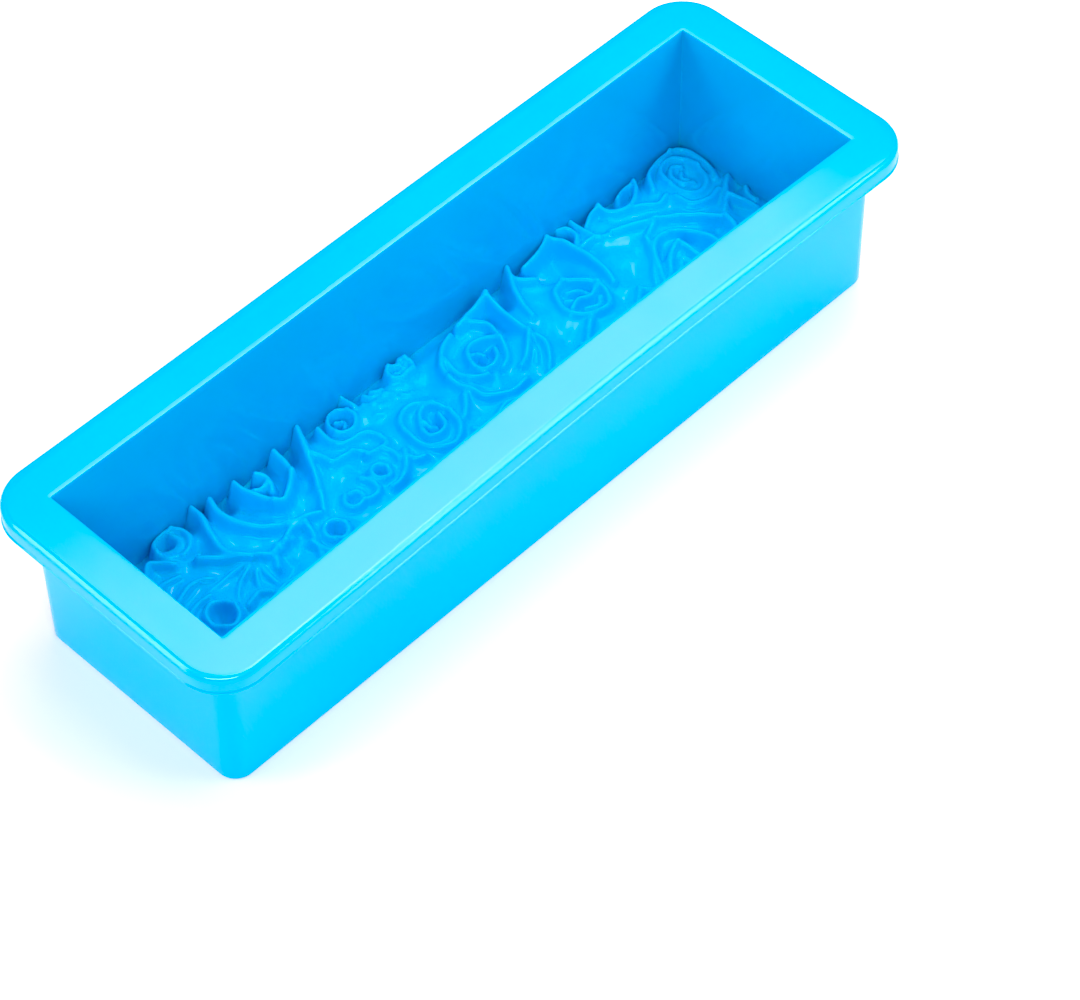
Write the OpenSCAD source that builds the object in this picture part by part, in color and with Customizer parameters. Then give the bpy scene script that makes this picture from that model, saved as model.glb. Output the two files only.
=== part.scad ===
// Loaf mould for soap, cast in one piece from soft silicone.
// A straight-sided tub with a flat rim flange around its mouth and a bed of roses on its floor,
// which leaves a rose pattern on the top of the finished loaf.
// The one casting is divided into its feature regions, which meet face to face.
// X runs along the loaf, Z is up, and the origin is the centre of the underside.

/* [Pour cavity] */
// Length of the mouth, along X
cavity_l = 250; // [220:1:280]
// Width of the mouth, along Y
cavity_w = 67; // [60:1:80]
// Corner radius of the mouth
cavity_corner_r = 0.5; // [0.5:0.5:2]

/* [Shell] */
// Height from the table to the top of the rim
total_h = 58; // [45:1:70]
// Thickness of the four walls
wall_t = 5.7; // [4:0.1:7]
// Thickness of the floor under the roses
floor_t = 3; // [3:0.5:6]
// Rounding where the walls turn into the underside
base_edge_r = 1; // [0.5:0.5:2.5]

/* [Rim] */
// How far the flange stands out from the mouth
rim_w = 14; // [10:0.5:18]
// Thickness of the flange
rim_t = 5; // [3:0.5:7]
// Rounding of the flange's outer top edge
rim_top_r = 1.9; // [0.6:0.1:1.9]
// Rounding of the flange's outer lower edge
rim_low_r = 0.8; // [0.4:0.1:1]
// Fillet between the walls and the underside of the flange
rim_fillet_r = 1.5; // [0.5:0.5:2]

/* [Roses] */
// Height of the bed between the roses, above the floor
bed_h = 6; // [4:0.5:8]
// Scale of the petal edges' height
petal_scale = 1; // [0.6:0.05:1.2]
// Spacing of the relief's points
relief_step = 2; // [2:0.5:6]

/* [Hidden] */
$fn = 64;

silicone = "deepskyblue";
eps = 0.01;
wall_top = total_h - rim_t;
half_l = cavity_l / 2 - cavity_corner_r;
half_w = cavity_w / 2 - cavity_corner_r;

// Every petal edge is a raised crest on a smooth curve: its height above the bed at its start and
// at its end, then the points that it passes through.

// Petal edges of the big horned rose by the back wall.
HORNED_ROSE = [
    [6, 3.5, [-79.8, 32.6], [-79.9, 28.4], [-81.8, 22.6], [-83.1, 15.5], [-80, 10], [-76, 6.5]],
    [6.5, 4.5, [-74.3, 30.8], [-75.4, 26.3], [-74.5, 20.6], [-69.8, 13.4], [-64.1, 9.7]],
    [4.5, 4, [-64.1, 9.7], [-60.5, 8.4], [-57.8, 7.8], [-54.8, 6.2]],
    [6, 5, [-65.3, 30.5], [-64.8, 26.1], [-63, 21.8], [-61.2, 18]],
    [6, 4.5, [-58.7, 28.6], [-57.2, 26.4], [-57.4, 23.8], [-59, 21.4]],
    [5, 5.5, [-61.2, 18], [-59, 16.6], [-56, 17.8], [-53, 20], [-50.9, 21.8]],
    [5.5, 6.5, [-50.9, 21.8], [-49.8, 26.1], [-49.5, 30.7]],
    [4, 4.5, [-62.6, 25.5], [-60.8, 24.2], [-58.6, 24.6]]
];

// Small rose, folds and ring bud at the left end.
LEFT_END = [
    [4, 3.6, [-96.4, 29], [-95.2, 31.6], [-91.5, 32.8], [-88, 32.4]],
    [3.6, 3.2, [-88, 32.4], [-86, 30], [-86.2, 26.8], [-88.4, 24.2], [-91.5, 23.4]],
    [3, 2.8, [-96.2, 28.6], [-95.4, 25.8], [-93, 24.4]],
    [3, 2.8, [-89.4, 31], [-88.6, 28.6], [-89.4, 26.4], [-91.6, 25.4]],
    [4, 3, [-104.5, 24.5], [-101, 27.5], [-98, 25.5], [-95.5, 22.5]],
    [3, 2, [-107, 18], [-102, 20], [-97, 19]],
    [3, 2, [-105, 11.5], [-100, 13.5], [-95, 14], [-91, 11.5]],
    [4, 4, [-90, 19], [-86, 15], [-81, 10.5], [-77.5, 7.5]],
    [4, 3, [-77.5, 7.5], [-74.5, 5.3], [-70, 5], [-66, 5.2]],
    [3.5, 3.5, [-93.7, -0.4], [-94.9, 2.9], [-98.3, 4.6], [-101.8, 2.7], [-102.8, -1], [-101, -4.3]],
    [3.5, 3.5, [-101, -4.3], [-98, -5.3], [-95, -3.7], [-93.7, -0.4]],
    [3.5, 3, [-109, -3], [-107, -7.5], [-102, -10.3], [-96.5, -9.5]],
    [3, 3, [-96, 7], [-101, 7.5], [-106, 4.5], [-109, -3]],
    [5, 3, [-125, 27], [-118, 25], [-112, 21], [-108, 14]],
    [4, 3, [-125, 12], [-119, 12], [-113, 8], [-110, 2]],
    [3, 5, [-113, 32], [-111, 27], [-106, 24]],
    [4, 3, [-119, -5], [-115.5, -8], [-113, -12]],
    [4, 3, [-101, -12.5], [-98.5, -14], [-96, -17]],
    [4, 5, [-121, -24], [-114.5, -26], [-108.5, -27.5]],
    [3, 3, [-124, -16], [-118, -19], [-112, -19], [-107, -23]],
    [4, 5, [-101, -18], [-99, -23], [-95.5, -27], [-90, -30], [-84, -31.5]],
    [3, 3, [-106, -29], [-101, -32], [-97, -31], [-96, -28.5]]
];

// Veins of the leaf, which meet at the foot of the horned rose.
LEAF_VEINS = [
    [2.2, 1, [-78.5, 8], [-86, 9.3], [-94, 9], [-98, 8.2]],
    [2, 1.2, [-79, 8], [-86, 5.5], [-91, 1], [-93, -3.5]],
    [1.8, 1.2, [-78.8, 7], [-83, 2], [-85.5, -5]],
    [2, 1.4, [-78.3, 7.5], [-79.3, 2], [-79, -5]],
    [3, 4, [-75.9, 0.9], [-73.4, 4.6], [-71.2, 6.4], [-68.8, 5.6]],
    [4, 4.5, [-68.8, 5.6], [-66.5, 7], [-63.4, 7.6], [-60.4, 6.4]],
    [4.5, 3, [-60.4, 6.4], [-61, 3], [-62.8, -0.7], [-64.6, -5]],
    [3, 3, [-90.8, -3], [-86.3, -1.6], [-83.8, -3.2], [-82.3, -5.9]]
];

// Buds and the middle-sized rose left of the centre.
LEFT_BUDS = [
    [3.5, 3.5, [-52.2, -1.5], [-53.2, 1], [-55.7, 2], [-58.2, 0.8], [-59.2, -1.7], [-58, -4.2]],
    [3.5, 3.5, [-58, -4.2], [-55.5, -5.2], [-53, -4], [-52.2, -1.5]],
    [3, 3, [-45, 6.2], [-47, 4], [-46.6, 1.5], [-44.5, 0.5], [-42, 1.2]],
    [2.5, 2.5, [-43, 5.8], [-41.2, 5], [-41, 3]],
    [3, 3, [-41, 0.2], [-38, 0], [-36.5, 1.5], [-36.2, 5], [-37.5, 7.5]],
    [3, 3, [-29.1, 5], [-30, 7.2], [-32, 7.9], [-34, 6.6], [-34.3, 4.2], [-32.8, 2.3]],
    [3, 3, [-32.8, 2.3], [-30.5, 2.4], [-29.1, 5]],
    [3, 3, [-25.2, 10.8], [-24, 7.8], [-24.6, 5]],
    [3.5, 3, [-21.5, 5.8], [-25, 1.5], [-29, -1], [-33, -1.2]],
    [3, 3, [-30, 12.5], [-26.5, 11.6], [-23.3, 11.5], [-22.5, 13.5]],
    [6.5, 3.5, [-38.7, 32.4], [-41, 27.4], [-43.7, 22.1], [-46.2, 17], [-49.5, 12]],
    [3.5, 2, [-49, 12], [-52, 8], [-54, 4.5]],
    [2.5, 1.5, [-46.8, 15], [-49.5, 10.5], [-51, 7.5]],
    [4.5, 3.5, [-41.5, 23.5], [-40, 20], [-39.3, 17.2], [-36, 16.8], [-32.5, 16.2]],
    [3.5, 3, [-32.5, 16.2], [-30.3, 14.3], [-29.5, 12]],
    [3.5, 3.5, [-33.5, 29.5], [-34, 25], [-33.5, 21.5], [-31, 19.6], [-27, 19.3], [-24, 17.8], [-22.7, 15]],
    [2.4, 2.2, [-30.2, 25.5], [-29.8, 29], [-27.4, 31.4], [-24.2, 31.4], [-22, 29.3]],
    [2.2, 2.4, [-22, 29.3], [-21.8, 26.1], [-24.8, 23.2], [-28.3, 23.3], [-30.2, 25.5]],
    [1.6, 1.6, [-27.5, 28.7], [-25.5, 27], [-26.5, 25.6]],
    [3, 3, [-22.3, 3], [-21.2, 0.8], [-19, 0]],
    [3.5, 2, [-20.5, 33.5], [-20, 31.5], [-19.3, 29]]
];

// Crumpled petals and the crown bud by the back wall.
CROWN_BUD = [
    [1.6, 1.2, [-14.5, 30.5], [-13.5, 28.5], [-11.5, 27.6]],
    [1.6, 1.2, [-12.3, 29.8], [-10.8, 28.6], [-9, 28.3]],
    [1.8, 1.2, [-15.3, 26], [-13.4, 25.6], [-11.6, 26.2]],
    [1.6, 1, [-13.8, 23.8], [-11.6, 23.2], [-9.8, 24]],
    [1.5, 1.2, [-9.6, 26.6], [-8.2, 25], [-8.4, 23]],
    [1.5, 1, [-17.3, 22], [-15.4, 21], [-13.4, 21.4]],
    [1.6, 1, [-6.4, 22.2], [-5, 21], [-3.4, 21.2]],
    [1.4, 1, [-16.8, 28], [-16, 26.2], [-16.6, 24.4]],
    [3.5, 4, [-5, 28], [-4.6, 30.4], [-3, 31.6]],
    [4, 3.2, [-3, 31.6], [-1.4, 30.8], [-0.2, 30]],
    [3.2, 4, [-0.2, 30], [1.2, 31.4], [2.6, 30.4]],
    [4, 3, [2.6, 30.4], [3.2, 28.4], [2.2, 26.4]],
    [3, 3.4, [-4.6, 27.6], [-2.4, 26.3], [-0.4, 26.6], [2, 26.2]],
    [2.6, 2.6, [-3, 29], [-1.4, 28.2], [0.6, 28.6]]
];

// Spiral rose left of the centre.
SPIRAL_ROSE = [
    [3.5, 3.5, [-16.5, 11.5], [-14.5, 14.7], [-11, 16.6], [-7, 15.6], [-3.7, 12], [-2.1, 7]],
    [3.5, 3.5, [-2.1, 7], [-3, 2], [-6, -1.4], [-10, -2.8], [-14, -0.6], [-16.7, 4.5], [-16.5, 11.5]],
    [3.5, 3, [-3.8, 12.6], [-7, 13.4], [-10.2, 11], [-12.8, 7.3]],
    [3, 3, [-12.8, 7.3], [-12.6, 4.2], [-9.5, 3], [-6.2, 4.5], [-5, 8.3]],
    [3, 2, [-10, 9.3], [-10.3, 7], [-8.8, 5.6]],
    [3, 3.5, [-0.5, 2.2], [2.5, 4.7], [5.3, 8]],
    [3, 3, [-2, -3], [0, -5], [3, -4.5]]
];

// Large rose right of the centre.
CENTRE_ROSE = [
    [3.5, 4, [18.5, 27.3], [14.5, 26], [11, 23.5], [7.8, 20], [6.2, 15.5]],
    [4, 3.5, [6.2, 15.5], [6.5, 11.5], [8, 7.5], [9, 3.5], [12.3, 0.5], [17, -1.2], [22, -0.8]],
    [3.5, 3, [10.8, 22], [9.8, 17], [10.5, 13.5], [12.3, 11], [15.8, 9]],
    [3.5, 3, [28, 16], [25.5, 18.8], [20.5, 20.7], [17, 18.6], [15.3, 14.8]],
    [3, 3, [15.3, 14.8], [16, 11.8], [19, 10.3], [22.5, 11.5], [24.3, 14.5]],
    [2.5, 2, [17.6, 17.5], [19.5, 17.3], [20.6, 15.3]],
    [4, 3, [22.5, 27.6], [26, 27.2], [29.2, 22], [28.2, 16.5], [26.5, 12.3], [24, 9], [20.8, 7.6]],
    [4, 6, [22, 28], [30, 29], [36, 30]],
    [6, 4, [36, 30], [35.3, 24], [35.2, 17], [35.6, 11.5]],
    [4, 3, [35.6, 11.5], [32, 8.2], [28.5, 5.5], [25, 4]],
    [4, 2, [36.3, 9], [36.4, 5.5], [34, 1.5], [30, -2.5]],
    [2.5, 2, [33.8, 8.8], [32.3, 5.5], [29.5, 2.5]],
    [3, 3, [8, -3.8], [11.5, -2.8], [15, -3.8], [17.5, -7], [17.5, -11]]
];

// Rose with a wide back petal, right of the large rose.
RIGHT_ROSE = [
    [6, 3.5, [48, 32.8], [46.3, 29.5], [43.8, 25], [42, 20], [41.2, 15.5]],
    [4.5, 3.5, [47.3, 29], [49.5, 26.5], [51.8, 24.6]],
    [3.5, 3.5, [57, 18.6], [52.8, 17.3], [50.5, 13.5], [49.5, 9], [52, 5], [55.5, 2.2]],
    [3.5, 3.5, [55.5, 2.2], [60, 1.9], [63, 5.5], [64, 10.6]],
    [4, 4, [64, 10.6], [60.6, 14.6], [57, 18.6]],
    [3, 3, [51.7, 9], [55.5, 10.1], [59.3, 8.7], [63, 10.2]],
    [2.5, 2.5, [55, 14.6], [58, 13.2], [59.2, 10.2]],
    [2.5, 2, [52.4, 12.5], [54, 11.6]],
    [2.5, 2, [54.5, 6.2], [58.5, 4.8], [61, 6.8]],
    [5.5, 4, [65.3, 33], [67.8, 29], [69.1, 23], [69.4, 17], [68.8, 11], [67.4, 7]],
    [4, 5, [53, 30.5], [59, 31], [65.3, 33]],
    [3.5, 3, [52.3, 2], [49, -0.4], [45, -4], [42, -8]],
    [3, 3, [71.5, 0.2], [68.8, -2.3], [65.5, -4.5]],
    [4.5, 3.5, [70.3, 33.3], [73, 31.8], [73.4, 28.5], [70.5, 25.5]],
    [4.5, 3, [75.8, 33], [76.4, 28], [78, 22.5]],
    [3, 3, [70, 24], [75, 24.5], [79, 22.8], [82, 21.7]]
];

// Pointed rose and the two petals behind it.
POINTED_ROSE = [
    [4, 4.5, [82, 21.7], [88, 18.8], [94.5, 15.5], [100, 11.5], [105.5, 6.3], [110.3, 0.7]],
    [4.5, 3, [110.3, 0.7], [109.8, -3], [107.5, -6.5], [103, -9.3]],
    [3.5, 4, [87.5, 12.3], [91, 14], [94.5, 15.5]],
    [2.5, 3.5, [73.5, -5.5], [78.5, 0.5], [83.5, 5.8], [87.5, 12.3]],
    [3.5, 4, [78, -4], [81.5, 1.5], [85, 6.6], [87.8, 9.1], [91, 9.8], [94, 8.8]],
    [4, 3.5, [94, 8.8], [98.2, 5.2], [100.8, -0.5], [101.5, -4.9]],
    [5, 4, [91.5, 3.6], [88.6, 2.6], [85.5, 0.6], [82, -3]],
    [3, 3.5, [90, 1.2], [87.4, -2.2], [83.8, -5.4]],
    [5, 4, [91.8, 3], [92.6, -0.4], [92.6, -4.4], [91.5, -7]],
    [3.4, 3, [89.6, -1.6], [89.2, -4.4], [87.8, -6.4]],
    [3.5, 3.5, [80, -5], [84, -8.7], [88.5, -10.9], [93.5, -11], [98.5, -10.2]],
    [3, 4, [78.5, 29], [82.5, 31], [86.6, 31.8]],
    [4, 3.2, [86.6, 31.8], [87.4, 28.6], [90, 26], [93.5, 25.1]],
    [3.2, 3.6, [93.5, 25.1], [97.5, 26.6], [100.5, 29], [102.4, 31.6]],
    [2.6, 3, [94, 30.6], [98, 31.6], [102, 31.8]],
    [3, 3, [94, 24.5], [97.5, 22.4], [101, 19.8], [105, 20.5]]
];

// Ringed rose and the leaf tips at the right end.
RINGED_ROSE = [
    [3.5, 3.5, [120.7, 22], [120.1, 26.3], [117.7, 29.3], [114.3, 30], [110.8, 28.2], [108.9, 22.5]],
    [3.5, 3, [108.9, 22.5], [109.6, 17.5], [112.6, 14.4], [116.3, 14.5], [119.2, 17.2], [120.7, 22]],
    [3.4, 3.8, [104, 25], [107, 29.5], [112, 31.5], [119, 32]],
    [3.8, 3.2, [119, 32], [122.4, 30], [123.4, 25], [123, 19], [121, 14.5]],
    [3, 2.5, [117, 25.5], [114.5, 27], [111.9, 24.5], [112.3, 20.5], [115, 18.6]],
    [2.5, 2, [115.5, 23.8], [114, 22.2], [115.2, 20.8]],
    [3, 3.5, [106.5, 18], [108, 12.5], [113, 9.8], [118, 10.5]],
    [3, 3.6, [114.5, 4.5], [118.5, 8], [121, 10.4], [123.5, 12]],
    [4, 3, [118, 6.5], [119.8, 2], [120.5, -3]],
    [3.4, 3, [124, 5], [122.5, 2.5], [122.5, -1]],
    [4.5, 4, [121, -8], [123, -10], [126, -13]]
];

// Flowers under the front rim, from left to right.
FRONT_ROSES = [
    [4, 4, [-88.7, -13], [-86, -8], [-78, -5.7], [-69, -7.5], [-65, -13], [-66.5, -20.5]],
    [4, 4.5, [-66.5, -20.5], [-69.5, -26.5], [-72, -30], [-79, -29], [-84.7, -26]],
    [4, 4, [-84.7, -26], [-87.7, -21.5], [-88.7, -13]],
    [3.5, 3, [-83, -12], [-77, -10.2], [-71.5, -13.5], [-71.5, -20], [-75, -24.5], [-80.5, -22]],
    [3, 3, [-80.5, -22], [-82, -16.5], [-78.5, -14], [-74.5, -17], [-76, -21]],
    [4, 5, [-86, -26.5], [-81.3, -30], [-77, -33], [-72.7, -34]],
    [4, 3.5, [-63.6, 0], [-62.6, -5], [-60.7, -10.5], [-62, -15]],
    [4, 5.5, [-54.8, -17.5], [-57, -23], [-59.5, -27.5], [-63, -25.5]],
    [4, 4, [-42, -7.8], [-35.5, -10.6], [-30, -12.6], [-26, -14.3], [-24.8, -18]],
    [3.5, 4, [-42, -7.8], [-47.5, -11.5], [-50, -18], [-49.5, -24.5], [-45.5, -29.5], [-39.5, -31]],
    [4, 4, [-39.5, -31], [-34.5, -28.8], [-30.3, -23.8], [-27, -17.5]],
    [3.5, 3, [-44.8, -20], [-43, -15.3], [-37.5, -14.6], [-33.8, -18.5], [-35.5, -24], [-41, -26.8]],
    [3, 2.5, [-41, -26.8], [-44.5, -24.3], [-42, -19.5], [-38.6, -19.6], [-39, -22.5]],
    [4, 5.5, [-24.8, -18], [-18.5, -24], [-15, -29], [-14, -34]],
    [5, 4, [-28, -34], [-23.5, -27.5], [-18.5, -24]],
    [3.5, 3, [-6.2, -5.5], [-5.4, -8], [-4.5, -11]],
    [3.5, 4, [-15, -8], [-13, -13.5], [-9, -18.5], [-4.8, -21.6]],
    [3.5, 3.5, [-11.8, -25.5], [-7, -23.6], [-2.5, -25.5], [-1.2, -29.5], [-3.5, -33.5]],
    [3.5, 3.5, [-11.8, -25.5], [-11.3, -29.5], [-8.5, -33]],
    [3, 2.5, [-8.5, -29.8], [-7.5, -27], [-5, -27], [-4.6, -30]],
    [3.5, 3.5, [1.3, -9], [3, -13], [6, -16.6], [11, -18.5], [16, -16], [17.5, -11]],
    [3, 3, [4.5, -8.5], [6.5, -12.8], [10.8, -14.8], [14, -11.8], [12.5, -7.8], [9, -7.2]],
    [2.5, 2, [9, -7.2], [8, -10], [10.3, -11.6], [11.6, -10]],
    [4, 4.5, [16.3, -19.5], [17.6, -25], [10, -25.6], [4.5, -25.5]],
    [4, 4, [3, -26.5], [3.7, -31], [5, -35]],
    [3.5, 3, [7, -33.5], [7.3, -29.6], [11, -28], [15.5, -29.3], [17, -33.5]],
    [4, 4.5, [22.5, -30.5], [25, -33], [28, -35]],
    [4, 3.5, [36.4, -5], [35, -8], [31, -9.5], [28, -13.5], [27.3, -19], [29, -25]],
    [3.5, 4, [29, -25], [34, -27], [39, -31]],
    [3.5, 3.5, [36.4, -12], [36.6, -15.5], [38, -19.4], [42, -21], [45.5, -18], [45, -12.5]],
    [3, 3, [32, -14], [32.3, -20], [36.5, -24.2], [43, -25.3], [48.5, -21.8], [50, -16]],
    [2.5, 2.5, [40, -15.5], [41.8, -14], [42, -11]],
    [3, 2, [43, -3], [47, -4.6], [51.5, -4]],
    [4.5, 5.5, [53, -11], [56.5, -16], [58.7, -22], [58.7, -27]],
    [5, 4, [62.8, -13.5], [65.5, -17.5], [68.5, -22]],
    [3.5, 3.5, [58.7, -27], [62, -30.5], [66.5, -29], [68.5, -22]],
    [3, 3, [61.5, -25.5], [62.5, -21.8], [65.5, -23], [65, -26]],
    [4.5, 4, [69.5, -8], [67, -11.5], [62.8, -13.5]],
    [3.5, 4, [71.3, -0.5], [73.8, -4], [76.3, -8]],
    [3, 3.5, [76.5, -13], [75, -20], [78, -27], [83, -31.5]],
    [3, 3, [84, -16], [83, -22], [87, -27.5], [93, -27], [95.5, -21]],
    [2.5, 2.5, [87.5, -19], [88, -23], [91, -23.5], [92, -20]],
    [4, 4, [101.5, -34], [99.2, -30.5], [98.8, -26.5], [100.5, -23.3], [104, -21.1]],
    [4, 4, [104, -21.1], [109.5, -20.7], [115, -22.2], [119.5, -25], [122, -29.5]],
    [3.5, 3, [104, -32], [103.8, -27], [108, -24.8], [113.5, -26.2], [116.5, -30.5]],
    [3, 2.5, [108, -32.5], [108.3, -29], [111.5, -28.7], [112.5, -32]],
    [3.5, 3, [104, -13], [110, -16], [117, -16], [124, -19.5]]
];

// Hollows in the bed, or mounds where the depth is negative: centre x and y, radius and depth.
HOLLOWS = [
    [-61, 25, 10, 4], [-63, 16, 15, 2], [-58, 13.5, 8, 1], [-91, 28, 8, -2.6], [-91.8, 29.6, 2.2, 4],
    [-98.3, -0.4, 4.2, 4.5], [-88.5, 21, 4.5, 2.5], [-84, 5, 4, 1.6], [-78, -3, 4.5, 2],
    [-73.5, -2, 4, 2], [-48, 20, 6.5, 4.5], [-45.5, 29, 5, 4], [-70, 30, 4, 3],
    [-55.7, -1.6, 3.2, 3], [-44, 3.2, 2.6, 2.4], [-31.7, 5, 2.6, 2.8], [-34, 10.5, 5, 2.6],
    [-26.2, 27.5, 4, 2.6], [-27, 23, 9, 1.2], [-20, 25, 6, -1], [-9.5, 7, 7, 2.4], [-9, 6.5, 3, 2],
    [-1, 28.8, 5.5, -2.4], [-1, 28.8, 2, 2], [-12, 26, 6, -1], [2, 20, 7, 1.6], [19, 16, 10, 2],
    [20, 15.5, 4.5, 2.2], [14, 4, 6, 2], [32.2, 20, 6, 4], [31.5, 26.5, 4, 1.5], [39.5, 27, 5, 4],
    [57, 10, 7.5, 3.2], [58, 12, 3, 1], [62, 24, 9, 3.6], [53.5, 27, 5, 2], [71.3, 29, 2.6, 3],
    [78, 14, 9, -1.2], [72.5, 20, 4, 2], [96, 3.5, 4, 3], [86.8, 5, 3.6, 3], [96.5, -3, 4, 3],
    [105, 0, 5, 2.6],
    [96, 29, 5, 1.6], [89.8, 29.4, 2.5, 2], [82.5, 27, 5, -1.6], [114.5, 22, 7, 2.6],
    [114.5, 22, 12, -1.5], [122.5, 21, 4, 2.6], [119, 3, 5, 2.6], [122.5, 7, 3.5, 2.4],
    [44, -1, 5, 1.6], [44, 9, 6, -1], [30, -6, 5, 2], [-77, -18, 11, 3.4], [-78, -17, 4, 1.5],
    [-56, -12, 6, 2.6], [-39, -21, 10, 3.4], [-41, -22, 4, 1.5], [-6, -29, 5, 3],
    [-10, -15, 5, 2.4], [9.5, -12, 7, 3], [11.5, -32, 6, 3], [38, -18, 9, 3.2], [64, -25, 5, 3],
    [88, -22, 8, 2.8], [109, -29, 9, 3.2], [114, -12, 7, 2.8], [-110, -20, 8, 2.6],
    [-102, -27, 6, 2.6], [-115, 18, 8, 2.6], [-117, 0, 7, 2.4], [-30, -5, 6, 2],
    [22, -24, 6, 2.8], [50, -28, 8, 2.6], [73, -28, 6, 2.6]
];

CRESTS = concat(
    HORNED_ROSE, LEFT_END, LEAF_VEINS, LEFT_BUDS, CROWN_BUD, SPIRAL_ROSE,
    CENTRE_ROSE, RIGHT_ROSE, POINTED_ROSE, RINGED_ROSE, FRONT_ROSES
);

bed_fall = 2.6;
bed_fall_width = 7.5;
cap_half = 1.6;
cap_share = 0.55;
crest_round = 0.9;
crest_foot = 4;
crest_foot_rise = 0.9;
free_from = 20;
free_share = 0.38;
free_shrink = 0.75;
curve_steps = 3;

function lerp(a, b, t) = a + (b - a) * t;
function clamp(t) = min(1, max(0, t));
function after(list, first) = [for (k = [first : len(list) - 1]) list[k]];

// A point on the Catmull-Rom curve from b to c
function curve_point(a, b, c, d, t) =
    b + 0.5 * t * (c - a + t * (2 * a - 5 * b + 4 * c - d + t * (3 * b - a - 3 * c + d)));

function curve(points) =
    let (
        n = len(points),
        knots = concat(
            [2 * points[0] - points[1]],
            points,
            [2 * points[n - 1] - points[n - 2]]
        )
    )
    concat(
        [for (k = [0 : n - 2], s = [0 : curve_steps - 1])
            curve_point(knots[k], knots[k + 1], knots[k + 2], knots[k + 3], s / curve_steps)],
        [points[n - 1]]
    );

// A crest as short straight runs, each one [start, end, height at start, height at end, foot]
function runs(crest) =
    let (
        route = curve(after(crest, 2)),
        count = len(route) - 1,
        foot = crest_foot + crest_foot_rise * max(crest[0], crest[1])
    )
    [for (k = [0 : count - 1])
        [
            route[k], route[k + 1],
            lerp(crest[0], crest[1], k / count), lerp(crest[0], crest[1], (k + 1) / count),
            foot
        ]
    ];

RUNS = [for (crest = CRESTS) each runs(crest)];

// How near a point is to a run, from 1 on it to 0 at its foot, and the run's height there.
// The cross-section is a rounded crest on concave flanks, which narrow towards the back wall, so
// that the petal tips stand free there like fingers.
function fin(p, run) =
    let (
        along = run[1] - run[0],
        t = clamp((p - run[0]) * along / (along * along)),
        d = norm(p - run[0] - t * along),
        free = clamp((p[1] - free_from) / (cavity_w / 2 - free_from)),
        share = cap_share + free_share * free,
        foot = run[4] * (1 - free_shrink * free),
        flank = clamp(1 - (sqrt(d * d + crest_round * crest_round) - crest_round) / foot),
        near = share * exp(-pow(d / cap_half, 3)) + (1 - share) * flank * flank
    )
    [near, near * lerp(run[2], run[3], t)];

function hollow_depth(p, hollow) =
    let (u = clamp(norm([p[0] - hollow[0], p[1] - hollow[1]]) / (1.25 * hollow[2])))
    hollow[3] * (1 - u * u) * (1 - u * u);

function total(values) = len(values) == 0 ? 0 : values * [for (v = values) 1];

// The bed falls away along the back wall
function back_fall(y) =
    let (edge = clamp((y - cavity_w / 2) / bed_fall_width + 1))
    bed_fall * edge * edge * (3 - 2 * edge);

// Height of the bed above the floor: never under a quarter of a millimetre or so, for a smooth underside
function relief_height(p, runs, hollows) =
    let (
        fins = [for (run = runs) fin(p, run)],
        near = max([0, for (f = fins) f[0]]),
        crest = max([0, for (f = fins) f[1]]),
        dish = total([for (hollow = hollows) hollow_depth(p, hollow)]) + back_fall(p[1]),
        z = bed_h - dish * (1 - near) + petal_scale * crest
    )
    (z + sqrt(z * z + 1)) / 2;

// One side of the ring around the mouth, with half of the corner at each end.
// Its profile's x is the distance outward from the corner centres, and its y is the height.
module side(straight, offset) {
    for (end = [0, 1])
        mirror([end, 0, 0])
            translate([straight, -offset, 0])
                rotate([0, 0, 270])
                    rotate_extrude(angle = 45)
                        children();
    translate([-straight, -offset, 0])
        rotate([90, 0, 90])
            mirror([1, 0, 0])
                linear_extrude(2 * straight)
                    children();
}

module front_side() {
    side(half_l, half_w) children();
}

module back_side() {
    rotate([0, 0, 180]) side(half_l, half_w) children();
}

module left_side() {
    rotate([0, 0, -90]) side(half_w, half_l) children();
}

module right_side() {
    rotate([0, 0, 90]) side(half_w, half_l) children();
}

module all_sides() {
    front_side() children();
    back_side() children();
    left_side() children();
    right_side() children();
}

// A rectangle from one corner to the other, in x and height
module patch(x0, z0, x1, z1) {
    translate([x0, z0]) square([x1 - x0, z1 - z0]);
}

module rim_profile() {
    outer = cavity_corner_r + rim_w;
    patch(cavity_corner_r, wall_top, outer - rim_top_r, total_h);
    patch(outer - rim_top_r - eps, wall_top + rim_low_r, outer, total_h - rim_top_r);
    patch(outer - rim_top_r - eps, wall_top, outer - rim_low_r, wall_top + rim_low_r + eps);
    translate([outer - rim_top_r, total_h - rim_top_r]) circle(rim_top_r);
    translate([outer - rim_low_r, wall_top + rim_low_r]) circle(rim_low_r);
    rim_fillet_profile();
}

// The flange's fillet lies against the outside of the walls
module rim_fillet_profile() {
    wall_face = cavity_corner_r + wall_t;
    difference() {
        patch(wall_face, wall_top - rim_fillet_r, wall_face + rim_fillet_r, wall_top + eps);
        translate([wall_face + rim_fillet_r, wall_top - rim_fillet_r]) circle(rim_fillet_r);
    }
}

module wall_profile() {
    patch(cavity_corner_r, floor_t, cavity_corner_r + wall_t, wall_top);
}

module base_edge_profile() {
    outer = cavity_corner_r + wall_t;
    patch(0, 0, outer - base_edge_r, floor_t);
    patch(outer - base_edge_r - eps, base_edge_r, outer, floor_t);
    translate([outer - base_edge_r, base_edge_r]) circle(base_edge_r);
}

module rim_flange() {
    color(silicone) all_sides() rim_profile();
}

module front_wall() {
    color(silicone) front_side() wall_profile();
}

module back_wall() {
    color(silicone) back_side() wall_profile();
}

module left_end_wall() {
    color(silicone) left_side() wall_profile();
}

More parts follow.
